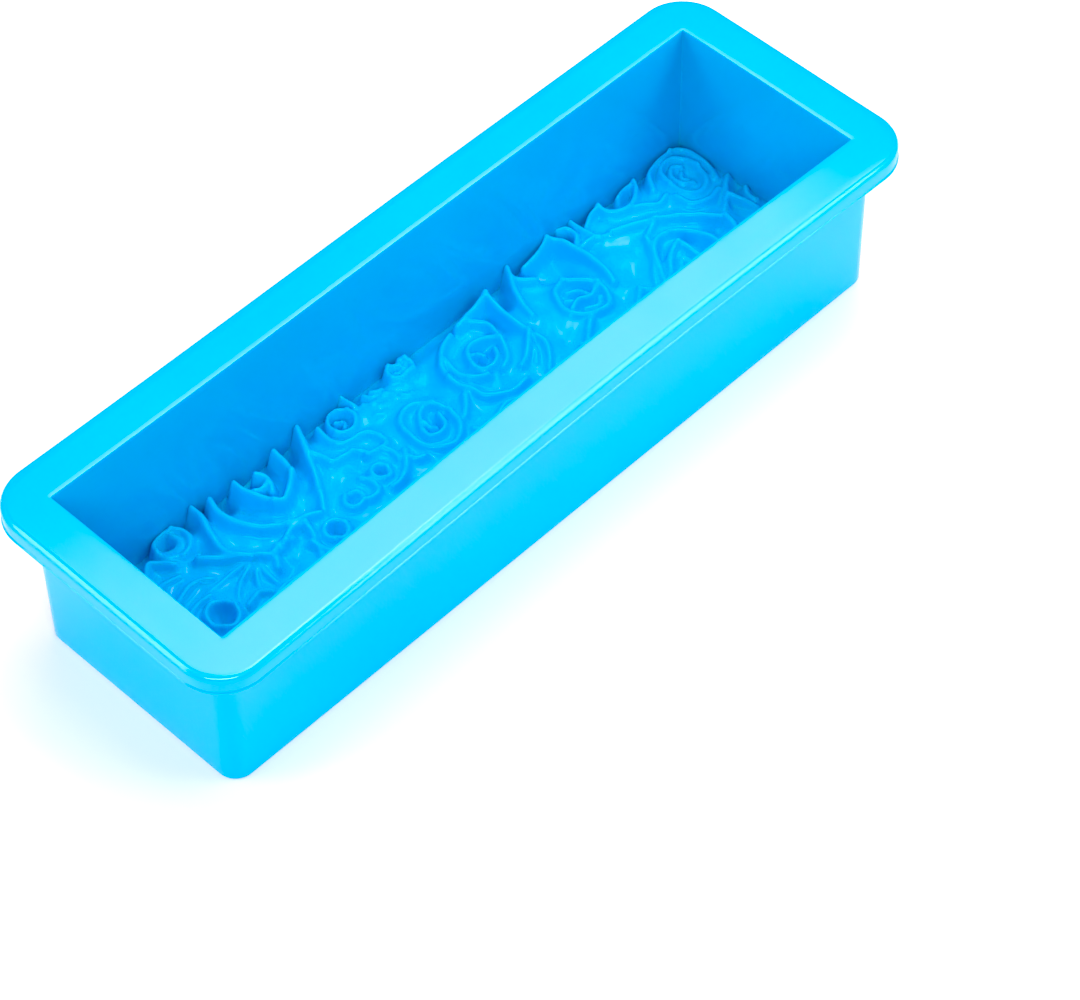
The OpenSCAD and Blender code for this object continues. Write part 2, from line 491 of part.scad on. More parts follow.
module right_end_wall() {
    color(silicone) right_side() wall_profile();
}

module base() {
    color(silicone) {
        all_sides() base_edge_profile();
        translate([-half_l - eps, -half_w - eps, 0])
            cube([2 * half_l + 2 * eps, 2 * half_w + 2 * eps, floor_t]);
    }
}

// The rose bed as one closed surface: a grid of heights, vertical edges and a flat underside
module rose_relief() {
    nx = round(cavity_l / relief_step);
    ny = round(cavity_w / relief_step);
    corner_pull = cavity_corner_r * (1 - sqrt(0.5));
    function x_at(i) = cavity_l * (i / nx - 0.5);
    function y_at(j) = cavity_w * (j / ny - 0.5);
    function is_corner(i, j) = (i == 0 || i == nx) && (j == 0 || j == ny);
    function place(i, j) =
        let (pull = is_corner(i, j) ? corner_pull : 0)
        [x_at(i) - sign(x_at(i)) * pull, y_at(j) - sign(y_at(j)) * pull];
    function near_run(x, run) =
        x > min(run[0][0], run[1][0]) - run[4] - crest_round
        && x < max(run[0][0], run[1][0]) + run[4] + crest_round;
    top = [for (i = [0 : nx])
        let (
            x = x_at(i),
            runs = [for (run = RUNS) if (near_run(x, run)) run],
            hollows = [for (hollow = HOLLOWS) if (abs(x - hollow[0]) < 1.25 * hollow[2]) hollow]
        )
        for (j = [0 : ny])
            let (p = place(i, j))
            [p[0], p[1], floor_t + relief_height(p, runs, hollows)]
    ];
    function index(i, j) = i * (ny + 1) + j;
    edge = concat(
        [for (i = [0 : nx - 1]) index(i, 0)],
        [for (j = [0 : ny - 1]) index(nx, j)],
        [for (i = [nx : -1 : 1]) index(i, ny)],
        [for (j = [ny : -1 : 1]) index(0, j)]
    );
    foot = [for (k = edge) [top[k][0], top[k][1], floor_t]];
    count = len(edge);
    first = len(top);
    cells = [for (i = [0 : nx - 1], j = [0 : ny - 1])
        each [
            [index(i, j), index(i, j + 1), index(i + 1, j + 1)],
            [index(i, j), index(i + 1, j + 1), index(i + 1, j)]
        ]
    ];
    sides = [for (k = [0 : count - 1])
        let (next = (k + 1) % count)
        each [
            [first + k, edge[k], edge[next]],
            [first + k, edge[next], first + next]
        ]
    ];
    underside = [[for (k = [0 : count - 1]) first + k]];
    color(silicone) polyhedron(concat(top, foot), concat(cells, sides, underside));
}

rim_flange();
front_wall();
back_wall();
left_end_wall();
right_end_wall();
base();
rose_relief();
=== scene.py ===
"""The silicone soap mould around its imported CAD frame: one soft casting with a rim flange, a tub and
a bed of roses on its floor. Everything is in metres, in the frame of the CAD model."""

import math

import bmesh
import bpy
import numpy as np
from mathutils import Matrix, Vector


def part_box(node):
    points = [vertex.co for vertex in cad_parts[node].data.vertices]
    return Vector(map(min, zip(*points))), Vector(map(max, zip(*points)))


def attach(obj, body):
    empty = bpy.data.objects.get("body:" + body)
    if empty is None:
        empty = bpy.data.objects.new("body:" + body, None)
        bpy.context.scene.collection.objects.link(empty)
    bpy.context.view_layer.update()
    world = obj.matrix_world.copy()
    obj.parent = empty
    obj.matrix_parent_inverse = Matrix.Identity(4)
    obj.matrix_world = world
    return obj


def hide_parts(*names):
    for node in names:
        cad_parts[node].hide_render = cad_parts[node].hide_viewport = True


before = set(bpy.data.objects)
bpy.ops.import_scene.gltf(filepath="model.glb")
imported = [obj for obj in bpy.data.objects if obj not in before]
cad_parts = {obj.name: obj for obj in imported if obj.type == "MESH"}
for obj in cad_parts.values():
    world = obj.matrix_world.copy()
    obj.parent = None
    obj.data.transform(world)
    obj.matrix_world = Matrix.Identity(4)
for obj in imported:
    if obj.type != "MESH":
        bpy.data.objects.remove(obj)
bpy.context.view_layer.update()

MM = 0.001

# ---------------------------------------------------------------- places taken from the frame

relief_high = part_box("rose_relief")[1]
tub_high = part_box("base")[1]
rim_low, rim_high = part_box("rim_flange")

CAVITY_X = relief_high.x
CAVITY_Y = relief_high.y
WALL_T = tub_high.x - CAVITY_X
RIM_W = rim_high.x - CAVITY_X
RIM_TOP = rim_high.z
RIM_UNDER = rim_low.z
FLOOR_TOP = tub_high.z

# ---------------------------------------------------------------- the shell

CORNER_R = 0.5 * MM
BASE_EDGE_R = 1.0 * MM
RIM_TOP_R = 1.9 * MM
PARTING_R = 0.5 * MM
PARTING_OUT = 0.3 * MM
MOUTH_EDGE_R = 0.15 * MM
RIM_FILLET_R = 1.5 * MM

# The near long side bows in a half wave: its depth, where along x it starts, and its length
BOW_IN = 1.6 * MM
BOW_START = -88 * MM
BOW_LENGTH = 227 * MM

# How far the long sides and the ends waver
LONG_WAVER = 0.15 * MM
END_WAVER = 0.12 * MM

CORNER_STEPS = 12
LONG_SIDE_STEPS = 48
END_STEPS = 14


def arc_points(cx, cz, r, start, end, steps):
    """Points of an arc in the profile's plane, from one angle to another in degrees."""
    angles = [math.radians(start + (end - start) * k / steps) for k in range(steps + 1)]
    return [(cx + r * math.cos(a), cz + r * math.sin(a)) for a in angles]


def line_points(a, b, steps):
    """Points after a up to, but not with, b."""
    return [
        (a[0] + (b[0] - a[0]) * k / steps, a[1] + (b[1] - a[1]) * k / steps)
        for k in range(1, steps)
    ]


def shell_profile():
    """The casting's outline in cross-section, as (distance out from the cavity wall, height): from the
    underside up the outside, over the rim and down to the floor of the cavity."""
    under = arc_points(WALL_T - BASE_EDGE_R, BASE_EDGE_R, BASE_EDGE_R, -90, 0, 8)
    fillet = arc_points(
        WALL_T + RIM_FILLET_R, RIM_UNDER - RIM_FILLET_R, RIM_FILLET_R, 180, 90, 6
    )
    parting_x = RIM_W + PARTING_OUT - PARTING_R
    parting_line = arc_points(parting_x, RIM_UNDER + PARTING_R, PARTING_R, -90, 60, 6)
    rim_top_edge = arc_points(RIM_W - RIM_TOP_R, RIM_TOP - RIM_TOP_R, RIM_TOP_R, 0, 90, 8)
    mouth_edge = arc_points(MOUTH_EDGE_R, RIM_TOP - MOUTH_EDGE_R, MOUTH_EDGE_R, 90, 180, 6)
    outline = list(under)
    outline += line_points(under[-1], fillet[0], 10)
    outline += fillet
    outline += line_points(fillet[-1], parting_line[0], 4)
    outline += parting_line
    outline += [(RIM_W, RIM_UNDER + 2 * PARTING_R)]
    outline += line_points(outline[-1], rim_top_edge[0], 3)
    outline += rim_top_edge
    outline += line_points(rim_top_edge[-1], mouth_edge[0], 8)
    outline += mouth_edge
    outline += line_points(mouth_edge[-1], (0, FLOOR_TOP), 16)
    outline += [(0, FLOOR_TOP)]
    return outline


def ring_stations():
    """Places round the mouth, anticlockwise from its right front corner: the point that the outline
    stands out from, and the outward direction there."""
    hx = CAVITY_X - CORNER_R
    hy = CAVITY_Y - CORNER_R
    corners = [(hx, -hy), (hx, hy), (-hx, hy), (-hx, -hy)]
    stations = []
    for turn, (cx, cy) in enumerate(corners):
        start = -90 + 90 * turn
        for k in range(CORNER_STEPS + 1):
            a = math.radians(start + 90 * k / CORNER_STEPS)
            stations.append(((cx, cy), (math.cos(a), math.sin(a))))
        steps = LONG_SIDE_STEPS if turn % 2 else END_STEPS
        a = math.radians(start + 90)
        for place in line_points((cx, cy), corners[(turn + 1) % 4], steps):
            stations.append((place, (math.cos(a), math.sin(a))))
    return stations


def softened(x, y, z):
    """Where a point of the ideal shell lies on the soft casting: the near long side bows in a little
    right of mid-length and out at its left end, most at the rim, and every side wavers slightly."""
    up = z / RIM_TOP
    bow = BOW_IN * math.sin(math.pi * (x - BOW_START) / BOW_LENGTH)
    y += bow * up * min(1, max(0, -y / CAVITY_Y))
    y += LONG_WAVER * up * math.sin(31 * x + 0.8)
    x += END_WAVER * up * math.sin(60 * y + 0.4)
    return Vector((x, y, z))


def make_mesh(name, verts, faces):
    """A smooth-shaded mesh object from points and faces, with its normals facing out."""
    mesh = bpy.data.meshes.new(name)
    mesh.from_pydata([tuple(v) for v in verts], [], faces)
    mesh.validate()
    bm = bmesh.new()
    bm.from_mesh(mesh)
    bmesh.ops.recalc_face_normals(bm, faces=bm.faces)
    bm.to_mesh(mesh)
    bm.free()
    mesh.shade_smooth()
    obj = bpy.data.objects.new(name, mesh)
    bpy.context.scene.collection.objects.link(obj)
    return obj


def build_shell():
    """The tub and rim as one mesh: the outline carried round the mouth, with the floor closed above
    and below."""
    profile = shell_profile()
    stations = ring_stations()
    verts = []
    for (cx, cy), (ux, uy) in stations:
        for out, z in profile:
            reach = CORNER_R + out
            verts.append(softened(cx + reach * ux, cy + reach * uy, z))
    rows = len(stations)
    cols = len(profile)
    faces = []
    for i in range(rows):
        j = (i + 1) % rows
        for k in range(cols - 1):
            faces.append((i * cols + k, j * cols + k, j * cols + k + 1, i * cols + k + 1))
    faces.append([i * cols for i in range(rows)])
    faces.append([i * cols + cols - 1 for i in reversed(range(rows))])
    shell = make_mesh("mould_shell", verts, faces)
    shell.data.set_sharp_from_angle(angle=math.radians(35))
    return shell


# ---------------------------------------------------------------- the rose bed

# Every petal edge is a raised crest on a smooth curve: its height above the bed at its start and
# at its end, then the points that it passes through, all in mm.

# Petal edges of the big horned rose by the back wall
HORNED_ROSE = [
    [6, 3.5, [-79.8, 32.6], [-79.9, 28.4], [-81.8, 22.6], [-83.1, 15.5], [-80, 10], [-76, 6.5]],
    [6.5, 4.5, [-74.3, 30.8], [-75.4, 26.3], [-74.5, 20.6], [-69.8, 13.4], [-64.1, 9.7]],
    [4.5, 4, [-64.1, 9.7], [-60.5, 8.4], [-57.8, 7.8], [-54.8, 6.2]],
    [6, 5, [-65.3, 30.5], [-64.8, 26.1], [-63, 21.8], [-61.2, 18]],
    [6, 4.5, [-58.7, 28.6], [-57.2, 26.4], [-57.4, 23.8], [-59, 21.4]],
    [5, 5.5, [-61.2, 18], [-59, 16.6], [-56, 17.8], [-53, 20], [-50.9, 21.8]],
    [5.5, 6.5, [-50.9, 21.8], [-49.8, 26.1], [-49.5, 30.7]],
    [4, 4.5, [-62.6, 25.5], [-60.8, 24.2], [-58.6, 24.6]],
]

# Small rose, folds and ring bud at the left end
LEFT_END = [
    [4, 3.6, [-96.4, 29], [-95.2, 31.6], [-91.5, 32.8], [-88, 32.4]],
    [3.6, 3.2, [-88, 32.4], [-86, 30], [-86.2, 26.8], [-88.4, 24.2], [-91.5, 23.4]],
    [3, 2.8, [-96.2, 28.6], [-95.4, 25.8], [-93, 24.4]],
    [3, 2.8, [-89.4, 31], [-88.6, 28.6], [-89.4, 26.4], [-91.6, 25.4]],
    [4, 3, [-104.5, 24.5], [-101, 27.5], [-98, 25.5], [-95.5, 22.5]],
    [3, 2, [-107, 18], [-102, 20], [-97, 19]],
    [3, 2, [-105, 11.5], [-100, 13.5], [-95, 14], [-91, 11.5]],
    [4, 4, [-90, 19], [-86, 15], [-81, 10.5], [-77.5, 7.5]],
    [4, 3, [-77.5, 7.5], [-74.5, 5.3], [-70, 5], [-66, 5.2]],
    [3.5, 3.5, [-93.7, -0.4], [-94.9, 2.9], [-98.3, 4.6], [-101.8, 2.7], [-102.8, -1], [-101, -4.3]],
    [3.5, 3.5, [-101, -4.3], [-98, -5.3], [-95, -3.7], [-93.7, -0.4]],
    [3.5, 3, [-109, -3], [-107, -7.5], [-102, -10.3], [-96.5, -9.5]],
    [3, 3, [-96, 7], [-101, 7.5], [-106, 4.5], [-109, -3]],
    [5, 3, [-125, 27], [-118, 25], [-112, 21], [-108, 14]],
    [4, 3, [-125, 12], [-119, 12], [-113, 8], [-110, 2]],
    [3, 5, [-113, 32], [-111, 27], [-106, 24]],
    [4, 3, [-119, -5], [-115.5, -8], [-113, -12]],
    [4, 3, [-101, -12.5], [-98.5, -14], [-96, -17]],
    [4, 5, [-121, -24], [-114.5, -26], [-108.5, -27.5]],
    [3, 3, [-124, -16], [-118, -19], [-112, -19], [-107, -23]],
    [4, 5, [-101, -18], [-99, -23], [-95.5, -27], [-90, -30], [-84, -31.5]],
    [3, 3, [-106, -29], [-101, -32], [-97, -31], [-96, -28.5]],
]

# Veins of the leaf, which meet at the foot of the horned rose
LEAF_VEINS = [
    [2.2, 1, [-78.5, 8], [-86, 9.3], [-94, 9], [-98, 8.2]],
    [2, 1.2, [-79, 8], [-86, 5.5], [-91, 1], [-93, -3.5]],
    [1.8, 1.2, [-78.8, 7], [-83, 2], [-85.5, -5]],
    [2, 1.4, [-78.3, 7.5], [-79.3, 2], [-79, -5]],
    [3, 4, [-75.9, 0.9], [-73.4, 4.6], [-71.2, 6.4], [-68.8, 5.6]],
    [4, 4.5, [-68.8, 5.6], [-66.5, 7], [-63.4, 7.6], [-60.4, 6.4]],
    [4.5, 3, [-60.4, 6.4], [-61, 3], [-62.8, -0.7], [-64.6, -5]],
    [3, 3, [-90.8, -3], [-86.3, -1.6], [-83.8, -3.2], [-82.3, -5.9]],
]

# Buds and the middle-sized rose left of the centre
LEFT_BUDS = [
    [3.5, 3.5, [-52.2, -1.5], [-53.2, 1], [-55.7, 2], [-58.2, 0.8], [-59.2, -1.7], [-58, -4.2]],
    [3.5, 3.5, [-58, -4.2], [-55.5, -5.2], [-53, -4], [-52.2, -1.5]],
    [3, 3, [-45, 6.2], [-47, 4], [-46.6, 1.5], [-44.5, 0.5], [-42, 1.2]],
    [2.5, 2.5, [-43, 5.8], [-41.2, 5], [-41, 3]],
    [3, 3, [-41, 0.2], [-38, 0], [-36.5, 1.5], [-36.2, 5], [-37.5, 7.5]],
    [3, 3, [-29.1, 5], [-30, 7.2], [-32, 7.9], [-34, 6.6], [-34.3, 4.2], [-32.8, 2.3]],
    [3, 3, [-32.8, 2.3], [-30.5, 2.4], [-29.1, 5]],
    [3, 3, [-25.2, 10.8], [-24, 7.8], [-24.6, 5]],
    [3.5, 3, [-21.5, 5.8], [-25, 1.5], [-29, -1], [-33, -1.2]],
    [3, 3, [-30, 12.5], [-26.5, 11.6], [-23.3, 11.5], [-22.5, 13.5]],
    [6.5, 3.5, [-38.7, 32.4], [-41, 27.4], [-43.7, 22.1], [-46.2, 17], [-49.5, 12]],
    [3.5, 2, [-49, 12], [-52, 8], [-54, 4.5]],
    [2.5, 1.5, [-46.8, 15], [-49.5, 10.5], [-51, 7.5]],
    [4.5, 3.5, [-41.5, 23.5], [-40, 20], [-39.3, 17.2], [-36, 16.8], [-32.5, 16.2]],
    [3.5, 3, [-32.5, 16.2], [-30.3, 14.3], [-29.5, 12]],
    [3.5, 3.5, [-33.5, 29.5], [-34, 25], [-33.5, 21.5], [-31, 19.6], [-27, 19.3], [-24, 17.8],
     [-22.7, 15]],
    [2.4, 2.2, [-30.2, 25.5], [-29.8, 29], [-27.4, 31.4], [-24.2, 31.4], [-22, 29.3]],
    [2.2, 2.4, [-22, 29.3], [-21.8, 26.1], [-24.8, 23.2], [-28.3, 23.3], [-30.2, 25.5]],
    [1.6, 1.6, [-27.5, 28.7], [-25.5, 27], [-26.5, 25.6]],
    [3, 3, [-22.3, 3], [-21.2, 0.8], [-19, 0]],
    [3.5, 2, [-20.5, 33.5], [-20, 31.5], [-19.3, 29]],
]

# Crumpled petals and the crown bud by the back wall
CROWN_BUD = [
    [1.6, 1.2, [-14.5, 30.5], [-13.5, 28.5], [-11.5, 27.6]],
    [1.6, 1.2, [-12.3, 29.8], [-10.8, 28.6], [-9, 28.3]],
    [1.8, 1.2, [-15.3, 26], [-13.4, 25.6], [-11.6, 26.2]],
    [1.6, 1, [-13.8, 23.8], [-11.6, 23.2], [-9.8, 24]],
    [1.5, 1.2, [-9.6, 26.6], [-8.2, 25], [-8.4, 23]],
    [1.5, 1, [-17.3, 22], [-15.4, 21], [-13.4, 21.4]],
    [1.6, 1, [-6.4, 22.2], [-5, 21], [-3.4, 21.2]],
    [1.4, 1, [-16.8, 28], [-16, 26.2], [-16.6, 24.4]],
    [3.5, 4, [-5, 28], [-4.6, 30.4], [-3, 31.6]],
    [4, 3.2, [-3, 31.6], [-1.4, 30.8], [-0.2, 30]],
    [3.2, 4, [-0.2, 30], [1.2, 31.4], [2.6, 30.4]],
    [4, 3, [2.6, 30.4], [3.2, 28.4], [2.2, 26.4]],
    [3, 3.4, [-4.6, 27.6], [-2.4, 26.3], [-0.4, 26.6], [2, 26.2]],
    [2.6, 2.6, [-3, 29], [-1.4, 28.2], [0.6, 28.6]],
]

# Spiral rose left of the centre
SPIRAL_ROSE = [
    [3.5, 3.5, [-16.5, 11.5], [-14.5, 14.7], [-11, 16.6], [-7, 15.6], [-3.7, 12], [-2.1, 7]],
    [3.5, 3.5, [-2.1, 7], [-3, 2], [-6, -1.4], [-10, -2.8], [-14, -0.6], [-16.7, 4.5], [-16.5, 11.5]],
    [3.5, 3, [-3.8, 12.6], [-7, 13.4], [-10.2, 11], [-12.8, 7.3]],
    [3, 3, [-12.8, 7.3], [-12.6, 4.2], [-9.5, 3], [-6.2, 4.5], [-5, 8.3]],
    [3, 2, [-10, 9.3], [-10.3, 7], [-8.8, 5.6]],
    [3, 3.5, [-0.5, 2.2], [2.5, 4.7], [5.3, 8]],
    [3, 3, [-2, -3], [0, -5], [3, -4.5]],
]

# Large rose right of the centre
CENTRE_ROSE = [
    [3.5, 4, [18.5, 27.3], [14.5, 26], [11, 23.5], [7.8, 20], [6.2, 15.5]],
    [4, 3.5, [6.2, 15.5], [6.5, 11.5], [8, 7.5], [9, 3.5], [12.3, 0.5], [17, -1.2], [22, -0.8]],
    [3.5, 3, [10.8, 22], [9.8, 17], [10.5, 13.5], [12.3, 11], [15.8, 9]],
    [3.5, 3, [28, 16], [25.5, 18.8], [20.5, 20.7], [17, 18.6], [15.3, 14.8]],
    [3, 3, [15.3, 14.8], [16, 11.8], [19, 10.3], [22.5, 11.5], [24.3, 14.5]],
    [2.5, 2, [17.6, 17.5], [19.5, 17.3], [20.6, 15.3]],
    [4, 3, [22.5, 27.6], [26, 27.2], [29.2, 22], [28.2, 16.5], [26.5, 12.3], [24, 9], [20.8, 7.6]],
    [4, 6, [22, 28], [30, 29], [36, 30]],
    [6, 4, [36, 30], [35.3, 24], [35.2, 17], [35.6, 11.5]],
    [4, 3, [35.6, 11.5], [32, 8.2], [28.5, 5.5], [25, 4]],
    [4, 2, [36.3, 9], [36.4, 5.5], [34, 1.5], [30, -2.5]],
    [2.5, 2, [33.8, 8.8], [32.3, 5.5], [29.5, 2.5]],
    [3, 3, [8, -3.8], [11.5, -2.8], [15, -3.8], [17.5, -7], [17.5, -11]],
]

# Rose with a wide back petal, right of the large rose
RIGHT_ROSE = [
    [6, 3.5, [48, 32.8], [46.3, 29.5], [43.8, 25], [42, 20], [41.2, 15.5]],
    [4.5, 3.5, [47.3, 29], [49.5, 26.5], [51.8, 24.6]],
    [3.5, 3.5, [57, 18.6], [52.8, 17.3], [50.5, 13.5], [49.5, 9], [52, 5], [55.5, 2.2]],
    [3.5, 3.5, [55.5, 2.2], [60, 1.9], [63, 5.5], [64, 10.6]],
    [4, 4, [64, 10.6], [60.6, 14.6], [57, 18.6]],
    [3, 3, [51.7, 9], [55.5, 10.1], [59.3, 8.7], [63, 10.2]],
    [2.5, 2.5, [55, 14.6], [58, 13.2], [59.2, 10.2]],
    [2.5, 2, [52.4, 12.5], [54, 11.6]],
    [2.5, 2, [54.5, 6.2], [58.5, 4.8], [61, 6.8]],
    [5.5, 4, [65.3, 33], [67.8, 29], [69.1, 23], [69.4, 17], [68.8, 11], [67.4, 7]],
    [4, 5, [53, 30.5], [59, 31], [65.3, 33]],
    [3.5, 3, [52.3, 2], [49, -0.4], [45, -4], [42, -8]],
    [3, 3, [71.5, 0.2], [68.8, -2.3], [65.5, -4.5]],
    [4.5, 3.5, [70.3, 33.3], [73, 31.8], [73.4, 28.5], [70.5, 25.5]],
    [4.5, 3, [75.8, 33], [76.4, 28], [78, 22.5]],
    [3, 3, [70, 24], [75, 24.5], [79, 22.8], [82, 21.7]],
]

# Pointed rose and the two petals behind it
POINTED_ROSE = [
    [4, 4.5, [82, 21.7], [88, 18.8], [94.5, 15.5], [100, 11.5], [105.5, 6.3], [110.3, 0.7]],
    [4.5, 3, [110.3, 0.7], [109.8, -3], [107.5, -6.5], [103, -9.3]],
    [3.5, 4, [87.5, 12.3], [91, 14], [94.5, 15.5]],
    [2.5, 3.5, [73.5, -5.5], [78.5, 0.5], [83.5, 5.8], [87.5, 12.3]],
    [3.5, 4, [78, -4], [81.5, 1.5], [85, 6.6], [87.8, 9.1], [91, 9.8], [94, 8.8]],
    [4, 3.5, [94, 8.8], [98.2, 5.2], [100.8, -0.5], [101.5, -4.9]],
    [5, 4, [91.5, 3.6], [88.6, 2.6], [85.5, 0.6], [82, -3]],
    [3, 3.5, [90, 1.2], [87.4, -2.2], [83.8, -5.4]],
    [5, 4, [91.8, 3], [92.6, -0.4], [92.6, -4.4], [91.5, -7]],
    [3.4, 3, [89.6, -1.6], [89.2, -4.4], [87.8, -6.4]],
    [3.5, 3.5, [80, -5], [84, -8.7], [88.5, -10.9], [93.5, -11], [98.5, -10.2]],
    [3, 4, [78.5, 29], [82.5, 31], [86.6, 31.8]],
    [4, 3.2, [86.6, 31.8], [87.4, 28.6], [90, 26], [93.5, 25.1]],
    [3.2, 3.6, [93.5, 25.1], [97.5, 26.6], [100.5, 29], [102.4, 31.6]],
    [2.6, 3, [94, 30.6], [98, 31.6], [102, 31.8]],
    [3, 3, [94, 24.5], [97.5, 22.4], [101, 19.8], [105, 20.5]],
]

# Ringed rose and the leaf tips at the right end
RINGED_ROSE = [
    [3.5, 3.5, [120.7, 22], [120.1, 26.3], [117.7, 29.3], [114.3, 30], [110.8, 28.2], [108.9, 22.5]],
    [3.5, 3, [108.9, 22.5], [109.6, 17.5], [112.6, 14.4], [116.3, 14.5], [119.2, 17.2], [120.7, 22]],
    [3.4, 3.8, [104, 25], [107, 29.5], [112, 31.5], [119, 32]],
    [3.8, 3.2, [119, 32], [122.4, 30], [123.4, 25], [123, 19], [121, 14.5]],
    [3, 2.5, [117, 25.5], [114.5, 27], [111.9, 24.5], [112.3, 20.5], [115, 18.6]],
    [2.5, 2, [115.5, 23.8], [114, 22.2], [115.2, 20.8]],
    [3, 3.5, [106.5, 18], [108, 12.5], [113, 9.8], [118, 10.5]],
    [3, 3.6, [114.5, 4.5], [118.5, 8], [121, 10.4], [123.5, 12]],
    [4, 3, [118, 6.5], [119.8, 2], [120.5, -3]],
    [3.4, 3, [124, 5], [122.5, 2.5], [122.5, -1]],
    [4.5, 4, [121, -8], [123, -10], [126, -13]],
]

# Flowers under the front rim, from left to right
FRONT_ROSES = [
    [4, 4, [-88.7, -13], [-86, -8], [-78, -5.7], [-69, -7.5], [-65, -13], [-66.5, -20.5]],
    [4, 4.5, [-66.5, -20.5], [-69.5, -26.5], [-72, -30], [-79, -29], [-84.7, -26]],
    [4, 4, [-84.7, -26], [-87.7, -21.5], [-88.7, -13]],
    [3.5, 3, [-83, -12], [-77, -10.2], [-71.5, -13.5], [-71.5, -20], [-75, -24.5], [-80.5, -22]],
    [3, 3, [-80.5, -22], [-82, -16.5], [-78.5, -14], [-74.5, -17], [-76, -21]],
    [4, 5, [-86, -26.5], [-81.3, -30], [-77, -33], [-72.7, -34]],
    [4, 3.5, [-63.6, 0], [-62.6, -5], [-60.7, -10.5], [-62, -15]],
    [4, 5.5, [-54.8, -17.5], [-57, -23], [-59.5, -27.5], [-63, -25.5]],
    [4, 4, [-42, -7.8], [-35.5, -10.6], [-30, -12.6], [-26, -14.3], [-24.8, -18]],
    [3.5, 4, [-42, -7.8], [-47.5, -11.5], [-50, -18], [-49.5, -24.5], [-45.5, -29.5], [-39.5, -31]],
    [4, 4, [-39.5, -31], [-34.5, -28.8], [-30.3, -23.8], [-27, -17.5]],
    [3.5, 3, [-44.8, -20], [-43, -15.3], [-37.5, -14.6], [-33.8, -18.5], [-35.5, -24], [-41, -26.8]],
    [3, 2.5, [-41, -26.8], [-44.5, -24.3], [-42, -19.5], [-38.6, -19.6], [-39, -22.5]],
    [4, 5.5, [-24.8, -18], [-18.5, -24], [-15, -29], [-14, -34]],
    [5, 4, [-28, -34], [-23.5, -27.5], [-18.5, -24]],
    [3.5, 3, [-6.2, -5.5], [-5.4, -8], [-4.5, -11]],
    [3.5, 4, [-15, -8], [-13, -13.5], [-9, -18.5], [-4.8, -21.6]],
    [3.5, 3.5, [-11.8, -25.5], [-7, -23.6], [-2.5, -25.5], [-1.2, -29.5], [-3.5, -33.5]],
    [3.5, 3.5, [-11.8, -25.5], [-11.3, -29.5], [-8.5, -33]],
    [3, 2.5, [-8.5, -29.8], [-7.5, -27], [-5, -27], [-4.6, -30]],
    [3.5, 3.5, [1.3, -9], [3, -13], [6, -16.6], [11, -18.5], [16, -16], [17.5, -11]],
    [3, 3, [4.5, -8.5], [6.5, -12.8], [10.8, -14.8], [14, -11.8], [12.5, -7.8], [9, -7.2]],
    [2.5, 2, [9, -7.2], [8, -10], [10.3, -11.6], [11.6, -10]],
    [4, 4.5, [16.3, -19.5], [17.6, -25], [10, -25.6], [4.5, -25.5]],
    [4, 4, [3, -26.5], [3.7, -31], [5, -35]],
    [3.5, 3, [7, -33.5], [7.3, -29.6], [11, -28], [15.5, -29.3], [17, -33.5]],
    [4, 4.5, [22.5, -30.5], [25, -33], [28, -35]],
    [4, 3.5, [36.4, -5], [35, -8], [31, -9.5], [28, -13.5], [27.3, -19], [29, -25]],
    [3.5, 4, [29, -25], [34, -27], [39, -31]],
    [3.5, 3.5, [36.4, -12], [36.6, -15.5], [38, -19.4], [42, -21], [45.5, -18], [45, -12.5]],
    [3, 3, [32, -14], [32.3, -20], [36.5, -24.2], [43, -25.3], [48.5, -21.8], [50, -16]],
    [2.5, 2.5, [40, -15.5], [41.8, -14], [42, -11]],
    [3, 2, [43, -3], [47, -4.6], [51.5, -4]],
    [4.5, 5.5, [53, -11], [56.5, -16], [58.7, -22], [58.7, -27]],
    [5, 4, [62.8, -13.5], [65.5, -17.5], [68.5, -22]],
    [3.5, 3.5, [58.7, -27], [62, -30.5], [66.5, -29], [68.5, -22]],
    [3, 3, [61.5, -25.5], [62.5, -21.8], [65.5, -23], [65, -26]],
    [4.5, 4, [69.5, -8], [67, -11.5], [62.8, -13.5]],
    [3.5, 4, [71.3, -0.5], [73.8, -4], [76.3, -8]],
    [3, 3.5, [76.5, -13], [75, -20], [78, -27], [83, -31.5]],
    [3, 3, [84, -16], [83, -22], [87, -27.5], [93, -27], [95.5, -21]],
    [2.5, 2.5, [87.5, -19], [88, -23], [91, -23.5], [92, -20]],
    [4, 4, [101.5, -34], [99.2, -30.5], [98.8, -26.5], [100.5, -23.3], [104, -21.1]],
    [4, 4, [104, -21.1], [109.5, -20.7], [115, -22.2], [119.5, -25], [122, -29.5]],
    [3.5, 3, [104, -32], [103.8, -27], [108, -24.8], [113.5, -26.2], [116.5, -30.5]],
    [3, 2.5, [108, -32.5], [108.3, -29], [111.5, -28.7], [112.5, -32]],
    [3.5, 3, [104, -13], [110, -16], [117, -16], [124, -19.5]],
]

